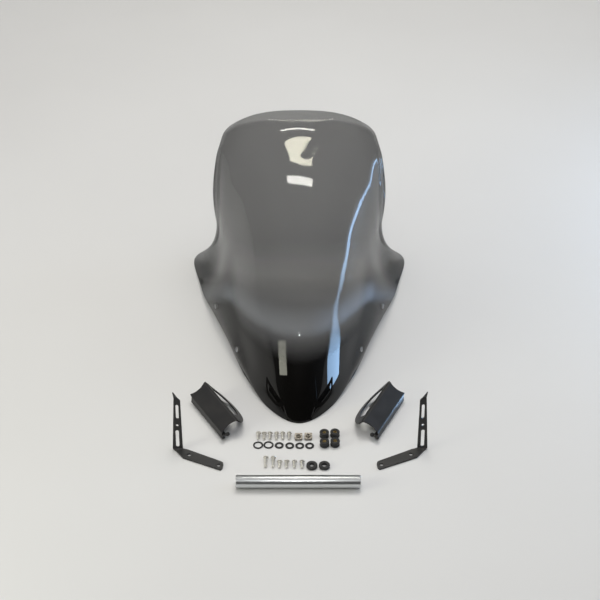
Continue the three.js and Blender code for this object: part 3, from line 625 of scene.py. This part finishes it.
def channel_bracket():
    scoop = lambda b: max(0.0, -SADDLE_R + SADDLE_D + math.sqrt(max(0.0, SADDLE_R ** 2 - (b - SADDLE_B) ** 2)))
    bs = [-29.3 + (31.3) * k / 22 for k in range(23)]
    out = [(9.0, 0.0), (LENGTH - 0.9, 0.0)]
    out += [(LENGTH - scoop(b), along(b)) for b in bs]
    out += [(a, along(b)) for a, b in reversed(refined(INNER_EDGE))]
    out += [(scoop(b), along(b)) for b in reversed(bs)]
    out += [(9.0, along(-29.3) - 1.2)]
    window = rounded([(a, along(b)) for a, b in WINDOW_OUTLINE], 3.0)
    sheet = outward(bent_sheet(out, [window], SHEET, CH_PATH, CH_CUTS, lambda a, b, z: (a, b, z)))
    # forked tab with a pin and two round knobs at the lower outer corner
    L, b0, half = LENGTH, -25.6, 10.5 / 2
    tab = rounded([(L - 14, -31.5), (L + 1.3, b0 - half), (L + 1.3, b0 + half), (L - 4, b0 + 3), (L - 14, b0 + 1)], 1.6)
    tris = tessellate_polygon([[Vector((x, y, 0)) for x, y in tab]])
    k = len(tab)
    tv = [(x, y, 8.4) for x, y in tab] + [(x, y, 10.6) for x, y in tab]
    tf = []
    for a, b, c in tris:
        s = (tab[b][0] - tab[a][0]) * (tab[c][1] - tab[a][1]) - (tab[b][1] - tab[a][1]) * (tab[c][0] - tab[a][0])
        if s < 0:
            b, c = c, b
        tf += [(a + k, b + k, c + k), (a, c, b)]
    ccw = 1 if signed_area(tab) > 0 else -1
    for i in range(k):
        j = (i + 1) % k
        tf.append((i, j, j + k, i + k)[::ccw])
    parts = [sheet, outward((tv, tf))]
    for s in (-1, 1):
        ball = [(3.8 * math.cos(math.radians(a)), 3.8 * math.sin(math.radians(a))) for a in range(-90, 91, 10)]
        ball = [(r if abs(r) > 1e-6 else 0.0, z) for r, z in ball]
        v, f = lathe(ball, 28)
        parts.append(moved(outward((v, f)), Matrix.Translation((L + 1.2 - s * 1.2, b0 + s * half, 9.5))))
    v, f = lathe([(0, -half), (1.3, -half), (1.3, half), (0, half)], 20)
    parts.append(moved(outward((v, f)), Matrix.Translation((L + 1.2, b0, 9.5)) @ Matrix.Rotation(math.pi / 2, 4, "X")))
    return joined(*parts)


part = channel_bracket()
for side, pos, d, sign in (("left", (-171.3, -128.2), (0.530, -0.848), 1), ("right", (163.8, -126.5), (-0.4565, -0.8897), -1)):
    m = Matrix(((d[0], -d[1] * sign, 0, pos[0]), (d[1], d[0] * sign, 0, pos[1]), (0, 0, 1, 0), (0, 0, 0, 1)))
    v, f = moved(part, m)
    to_object(f"channel_sheet_{side}", v, f, black_steel, f"channel_bracket_{side}", f"channel_bracket_{side}", bevel=0.3)

# ------------------------------------------------------------------ crossbar
BAR = (-1.7, -358.0)


def bar_profile(ro, ri, l, c):
    arc = lambda cx, cz, a0: [(cx + c * math.cos(math.radians(a0 + k * 22.5)), cz + c * math.sin(math.radians(a0 + k * 22.5))) for k in range(5)]
    return [(ri, -l + 0.3), (ri + 0.3, -l)] + arc(ro - c, -l + c, -90) + arc(ro - c, l - c, 0) + [(ri + 0.3, l), (ri, l - 0.3)]


to_x = Matrix.Rotation(math.pi / 2, 4, "Y")
v, f = moved(outward(lathe(bar_profile(11, 9, 103, 0.8), 96, closed=True)), Matrix.Translation((*BAR, 11)) @ to_x)
to_object("crossbar_bar", v, f, aluminium, "crossbar_tube", "crossbar")


def threads(r_major, depth, pitch, z0, z1, inward=False, step=6):
    """Profile points and a radius function that make a screw thread between z0 and z1."""
    k = int((z1 - z0) / pitch * step)
    zs = [z0 + (z1 - z0) * i / k for i in range(k + 1)]

    def radius(a, z, r):
        if z < z0 - 1e-6 or z > z1 + 1e-6 or abs(r - r_major) > 1e-6:
            return r
        ph = (z / pitch - a / (2 * math.pi)) % 1.0
        w = abs(2 * ph - 1)
        fade_in = min(1.0, (z - z0) / pitch, (z1 - z) / pitch)
        d = depth * min(1.0, max(0.0, (w - 0.12) * 1.3)) * max(0.0, fade_in)
        return r + d if inward else r - d
    return zs, radius


def crossbar_insert(side):
    ri, rh, l = 8.7, 2.6, 16.0
    zs, rad = threads(rh, 0.4, 1.0, -l + 0.6, -1.0, inward=True)
    prof = [(ri, -l), (ri, -0.8), (ri - 0.25, -0.25), (ri - 0.8, 0.0), (rh + 0.9, 0.0), (rh + 0.2, -0.7)] + [(rh, z) for z in reversed(zs)] + [(rh + 0.3, -l)]
    part = outward(lathe(prof, 48, closed=True, radius=rad))
    return moved(part, Matrix.Translation((BAR[0] + side * (103 - 1.0), BAR[1], 11)) @ Matrix.Rotation(side * math.pi / 2, 4, "Y"))


for name, side in (("left", -1), ("right", 1)):
    v, f = crossbar_insert(side)
    to_object(f"crossbar_plug_{name}", v, f, zinc, f"crossbar_insert_{name}", "crossbar")

# ------------------------------------------------------------------ fasteners


def settle(part, node):
    """Puts a part where the CAD node of the same shape lies."""
    lo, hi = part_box(node)
    v, f = part
    A = np.array(v, float)
    c = (A.min(0) + A.max(0)) / 2
    want = np.array([(lo[0] + hi[0]) / 2, (lo[1] + hi[1]) / 2]) / MM
    A[:, 0] += want[0] - c[0]
    A[:, 1] += want[1] - c[1]
    A[:, 2] += lo[2] / MM - A[:, 2].min()
    return [tuple(p) for p in A], f


def button_screw(length):
    R, r, k, af = 4.75, 2.5, 2.75, 3.2
    zs, rad = threads(r, 0.42, 0.8, -length + 0.9, -0.9)

    def radius(a, z, q):
        if q == -1.0:
            w = (a + math.pi / 6) % (math.pi / 3) - math.pi / 6
            return af / 2 / math.cos(w)
        return rad(a, z, q)
    dome = [(R, 0.35), (R - 0.08, 0.75), (R * 0.93, 1.25), (R * 0.82, 1.85), (R * 0.68, 2.38), (R * 0.56, 2.66), (R * 0.50, k)]
    prof = [(0.0, -length), (r - 0.75, -length), (r - 0.45, -length + 0.15)] + [(r, z) for z in zs] + [(r, -0.3), (r + 0.3, 0.0), (R - 0.35, 0.0), (R - 0.08, 0.1)] + dome
    part_v, part_f = lathe([*prof, (-1.0, k - 0.12), (-1.0, k - 1.7), (0.0, k - 2.1)] if False else prof + [(2.05, k - 0.02)], 36, radius=radius)
    # hexagon socket, joined to the rim of the head
    n = 36
    rim = list(range(len(part_v) - n, len(part_v)))
    hexr = lambda a: af / 2 / math.cos((a + math.pi / 6) % (math.pi / 3) - math.pi / 6)
    rows = []
    for z, q in ((k - 0.16, 1.0), (k - 1.7, 0.99)):
        rows.append(list(range(len(part_v), len(part_v) + n)))
        for i in range(n):
            a = 2 * math.pi * i / n
            part_v.append((hexr(a) * q * math.cos(a), hexr(a) * q * math.sin(a), z))
    tip = len(part_v)
    part_v.append((0, 0, k - 2.05))
    for a, b in ((rim, rows[0]), (rows[0], rows[1])):
        for i in range(n):
            part_f.append([a[i], a[(i + 1) % n], b[(i + 1) % n], b[i]])
    for i in range(n):
        part_f.append([rows[1][i], rows[1][(i + 1) % n], tip])
    tilt = math.atan((R * math.cos(math.pi / 10) - r) / length)
    m = Matrix.Rotation(tilt, 4, "X") @ Matrix.Rotation(math.pi, 4, "Z") @ Matrix.Rotation(math.pi / 2, 4, "X")
    return moved(outward((part_v, part_f)), m)


short, long_ = button_screw(12.0), button_screw(20.0)
for prefix, count, part in (("short", 6, short), ("long", 2, long_), ("front", 4, short)):
    for i in range(1, count + 1):
        v, f = settle(part, f"{prefix}_screw_{i}")
        to_object(f"{prefix}_button_screw_{i}", v, f, zinc, f"{prefix}_screw_{i}", f"{prefix}_screw_{i}", sharp=32)


def clip():
    l, w, t, h = 15.5 / 2, 13.2 / 2, 0.8, 2.4 + 1.6
    path, cuts, start = bend_path([(l, t / 2), (-l + t / 2, t / 2), (-l + t / 2, h - t / 2), (l - 1.8, h - t / 2), (l, h + 0.1)], [1.58, 1.58, 1.5])
    total = start[-1]
    out = rounded([(-w, 0), (w, 0), (w, start[1] - 2.2), (w - 1.2, start[1] - 1.6), (w - 1.2, start[2] + 1.6), (w, start[2] + 2.2), (w, total), (-w, total), (-w, start[2] + 2.2), (-w + 1.2, start[2] + 1.6), (-w + 1.2, start[1] - 1.6), (-w, start[1] - 2.2)], 0.9)
    holes = [ring_points(0, l, 2.8), ring_points(0, start[2] + l - t / 2, 2.8)]
    return outward(bent_sheet(out, holes, t, path, cuts, lambda x, p, q: (x, p, q)))


def barrel():
    ro, ri, h = 4.2, 2.2, 2.6
    zs, rad = threads(ri, 0.32, 0.8, 0.3, h - 0.3, inward=True)
    prof = [(ro, 0.0), (ro - 0.05, 0.9), (ro - 0.3, h - 0.3), (ro - 0.65, h), (ri + 0.35, h)] + [(ri, z) for z in reversed(zs)] + [(ri + 0.3, 0.0)]
    return outward(lathe(prof, 40, closed=True, radius=rad))


for i in (1, 2):
    v, f = settle(clip(), f"clip_nut_{i}")
    to_object(f"clip_spring_{i}", v, f, clip_steel, f"clip_nut_{i}", f"clip_nut_{i}", bevel=0.12)
    v, f = settle(barrel(), f"clip_nut_{i}_barrel")
    to_object(f"clip_thread_{i}", v, f, clip_steel, f"clip_nut_{i}_barrel", f"clip_nut_{i}")


def round_profile(r0, r1, z0, z1, c, steps=4):
    """Closed section of a ring from r0 to r1 with rounded corners, counter-clockwise."""
    out = []
    for cx, cz, a0 in ((r1 - c, z0 + c, -90), (r1 - c, z1 - c, 0), (r0 + c, z1 - c, 90), (r0 + c, z0 + c, 180)):
        out += [(cx + c * math.cos(math.radians(a0 + 90 * k / steps)), cz + c * math.sin(math.radians(a0 + 90 * k / steps))) for k in range(steps + 1)]
    return out


def well_nut():
    F, B, h, fh, b = 16.5 / 2, 14.8 / 2, 10.5, 2.8, 3.5
    q = [(b + 0.3, 0), (F - 0.7, 0), (F - 0.2, 0.2), (F, 0.7), (F, fh - 0.6), (F - 0.15, fh - 0.1), (B + 0.35, fh + 0.25), (B, fh + 0.8),
         (B - 0.05, h / 2), (B, h - fh - 0.8), (B + 0.35, h - fh - 0.25), (F - 0.15, h - fh + 0.1), (F, h - fh + 0.6), (F, h - 0.9), (F - 0.25, h - 0.3), (F - 0.9, h), (b + 1.0, h), (b + 0.35, h - 0.15), (b, h - 0.6), (b, 0.3)]
    return outward(lathe(q, 56, closed=True))


def insert():
    ro, ri, z0, z1 = 3.2, 2.1, 0.6, 9.7
    zs, rad = threads(ri, 0.35, 0.8, z0 + 0.5, z1 - 0.5, inward=True)
    prof = [(ri + 0.4, z0), (ro, z0), (ro, z1 - 0.2), (ro - 0.2, z1), (ri + 0.45, z1)] + [(ri, z) for z in reversed(zs)]
    return outward(lathe(prof, 36, closed=True, radius=rad))


for i in range(1, 5):
    v, f = settle(well_nut(), f"well_nut_{i}")
    to_object(f"well_rubber_{i}", v, f, rubber, f"well_nut_{i}", f"well_nut_{i}", sharp=60)
    v, f = settle(insert(), f"well_nut_{i}_insert")
    to_object(f"well_thread_{i}", v, f, brass, f"well_nut_{i}_insert", f"well_nut_{i}")

for prefix, count, od, idd, h, c in (("large", 2, 17.5, 12, 1.4, 0.45), ("small", 4, 15.5, 8, 1.2, 0.35), ("thick", 2, 18.8, 8, 5.0, 0.9)):
    for i in range(1, count + 1):
        v, f = settle(outward(lathe(round_profile(idd / 2, od / 2, 0, h, c), 56, closed=True)), f"{prefix}_ring_{i}")
        to_object(f"{prefix}_washer_{i}", v, f, rubber, f"{prefix}_ring_{i}", f"{prefix}_ring_{i}", sharp=60)

# ------------------------------------------------------------------ floor, light, camera


def glow(name, verts, colour, strength, faces=None, camera=False, one_sided=False):
    me = bpy.data.meshes.new(name)
    me.from_pydata(verts, [], faces or [tuple(range(len(verts)))])
    ob = bpy.data.objects.new(name, me)
    scene.collection.objects.link(ob)
    m = bpy.data.materials.new(name)
    m.use_nodes = True
    m.node_tree.nodes.clear()
    e = m.node_tree.nodes.new("ShaderNodeEmission")
    o = m.node_tree.nodes.new("ShaderNodeOutputMaterial")
    e.inputs["Color"].default_value = (*colour, 1)
    e.inputs["Strength"].default_value = strength
    g = m.node_tree.nodes.new("ShaderNodeNewGeometry")
    t = m.node_tree.nodes.new("ShaderNodeBsdfTransparent")
    x = m.node_tree.nodes.new("ShaderNodeMixShader")
    m.node_tree.links.new(g.outputs["Backfacing"], x.inputs["Fac"])
    m.node_tree.links.new(e.outputs["Emission"], x.inputs[1])
    m.node_tree.links.new((t if one_sided else e).outputs[0], x.inputs[2])
    m.node_tree.links.new(x.outputs["Shader"], o.inputs["Surface"])
    me.materials.append(m)
    ob.visible_camera = camera
    ob.visible_shadow = False
    return ob


H = 3.0
glow("ceiling_lamp", [(x, y, H) for x, y in [(-0.245, 1.83), (-0.1, 1.94), (-0.005, 2.0), (0.07, 1.945), (0.185, 1.88), (0.19, 1.80), (0.07, 1.865), (-0.005, 1.915), (-0.1, 1.86), (-0.242, 1.76)]], (1.0, 0.98, 0.9), 40)
glow("roof_window", [(x, y, H) for x, y in [(-0.169, 1.591), (-0.01, 1.662), (0.132, 1.635), (0.151, 1.6), (0.04, 1.61), (0.02, 1.585), (0.093, 1.545), (0.404, 1.475), (0.48, 1.424), (0.179, 1.459), (-0.126, 1.50), (-0.305, 1.49), (-0.245, 1.543)]], (1.0, 0.96, 0.78), 30)
glow("ceiling_lamp_near", [(x, y, H) for x, y in [(-0.592, 1.34), (0.047, 1.354), (0.708, 1.303), (0.732, 1.229), (0.056, 1.266), (-0.613, 1.266)]], (1.0, 0.98, 0.92), 36)
glow("side_panel", [(-1.5, y, z) for y, z in [(-0.416, 0.542), (-0.922, 1.136), (-1.241, 0.639), (-0.617, 0.212)]], (1.0, 1.0, 0.84), 8.0)
glow("spot", [(0.16 * math.cos(k * math.pi / 6) - 0.02, -1.81 + 0.07 * math.sin(k * math.pi / 6), 2.5) for k in range(12)], (1, 1, 1), 110)
glow("low_window", [(1.2, y, z) for y, z in [(0.95, 0.10), (0.80, 0.11), (0.70, 0.14), (0.56, 0.20), (0.41, 0.235), (0.23, 0.25), (0.05, 0.13), (-0.05, 0.06), (-0.15, 0.0),
                                             (0.24, 0.0), (0.24, 0.10), (0.30, 0.165), (0.43, 0.18), (0.58, 0.135), (0.70, 0.08), (0.82, 0.055), (0.95, 0.06)]], (0.42, 0.66, 1.0), 16.0)
glow("light_on_floor", [(0.205, -0.172, 0.002), (0.675, -0.152, 0.002), (1.19, -0.14, 0.002), (1.19, 0.24, 0.002), (0.45, 0.021, 0.002), (0.243, -0.063, 0.002), (0.205, -0.085, 0.002)], (0.42, 0.66, 1.0), 16.0, one_sided=True)



def floor_material():
    m, nt, p, co = material("studio_floor")
    a = noise(nt, co, 1.3, 3.0)
    b = noise(nt, co, 160.0, 4.0)
    nt.links.new(ramp(nt, a, [(0.3, (0.655, 0.653, 0.652)), (0.7, (0.685, 0.684, 0.684))]), p.inputs["Base Color"])
    nt.links.new(spread(nt, b, 0.62, 0.72), p.inputs["Roughness"])
    p.inputs["Specular IOR Level"].default_value = 0.2
    return m


me = bpy.data.meshes.new("floor")
bm = bmesh.new()
bmesh.ops.create_circle(bm, cap_ends=True, segments=96, radius=14.0)
bm.to_mesh(me)
bm.free()
floor = bpy.data.objects.new("floor", me)
floor.location = (0, 0, -0.0002)
scene.collection.objects.link(floor)
me.materials.append(floor_material())


def lamp(name, location, target, size, energy, colour, glossy=False):
    d = bpy.data.lights.new(name, "AREA")
    d.shape = "RECTANGLE"
    d.size, d.size_y = size
    d.energy = energy
    d.color = colour
    o = bpy.data.objects.new(name, d)
    o.location = location
    o.rotation_euler = (Vector(target) - Vector(location)).to_track_quat("-Z", "Y").to_euler()
    o.visible_glossy = glossy
    scene.collection.objects.link(o)
    return o


lamp("overhead", (0.2, 0.9, 2.8), (0, 0, 0), (2.6, 1.6), 31, (1.0, 0.985, 0.96))
lamp("left_fill", (-2.6, 0.2, 1.5), (0, 0, 0.1), (1.6, 1.2), 5, (1.0, 0.95, 0.88))
lamp("right_fill", (2.6, 0.2, 1.3), (0, 0, 0.1), (1.6, 1.2), 9, (0.70, 0.83, 1.0))

world = bpy.data.worlds.new("room")
scene.world = world
world.use_nodes = True
wt = world.node_tree
wt.nodes.clear()
w_out = wt.nodes.new("ShaderNodeOutputWorld")
bg = wt.nodes.new("ShaderNodeBackground")
bg_cam = wt.nodes.new("ShaderNodeBackground")
bg_cam.inputs["Color"].default_value = (0.66, 0.66, 0.66, 1)
mix = wt.nodes.new("ShaderNodeMixShader")
lp = wt.nodes.new("ShaderNodeLightPath")
wt.links.new(lp.outputs["Is Camera Ray"], mix.inputs["Fac"])
wt.links.new(bg.outputs["Background"], mix.inputs[1])
wt.links.new(bg_cam.outputs["Background"], mix.inputs[2])
wt.links.new(mix.outputs["Shader"], w_out.inputs["Surface"])
tc = wt.nodes.new("ShaderNodeTexCoord")
sx = wt.nodes.new("ShaderNodeSeparateXYZ")
wt.links.new(tc.outputs["Generated"], sx.inputs["Vector"])


def w_range(value, a, b, lo, hi):
    r = wt.nodes.new("ShaderNodeMapRange")
    r.interpolation_type = "SMOOTHSTEP"
    for k, x in (("From Min", a), ("From Max", b), ("To Min", lo), ("To Max", hi)):
        r.inputs[k].default_value = x
    wt.links.new(value, r.inputs["Value"])
    return r.outputs["Result"]


def w_math(op, a, b):
    n = wt.nodes.new("ShaderNodeMath")
    n.operation = op
    for k, x in enumerate((a, b)):
        if isinstance(x, (int, float)):
            n.inputs[k].default_value = x
        else:
            wt.links.new(x, n.inputs[k])
    return n.outputs["Value"]


front = w_range(sx.outputs["Y"], -0.66, -0.12, 1.0, 0.0)
low = w_range(sx.outputs["Z"], 0.70, 0.93, 1.0, 0.0)
dark = w_math("MULTIPLY", front, low)
rise = w_range(sx.outputs["Z"], 0.30, 0.88, 0.09, 0.62)
level = w_math("MULTIPLY", rise, w_math("SUBTRACT", 1.0, w_math("MULTIPLY", dark, 0.72)))
wt.links.new(level, bg.inputs["Strength"])
bg.inputs["Color"].default_value = (1.0, 0.99, 0.975, 1)

cam_data = bpy.data.cameras.new("camera")
cam_data.sensor_width = 36
cam_data.lens = 72
cam_data.shift_x = 0.0013
cam_data.clip_start = 0.05
cam_data.clip_end = 60
cam = bpy.data.objects.new("camera", cam_data)
cam.location = (0.0, -1.762, 1.445)
cam.rotation_euler = (math.radians(53), 0, 0)
scene.collection.objects.link(cam)
scene.camera = cam
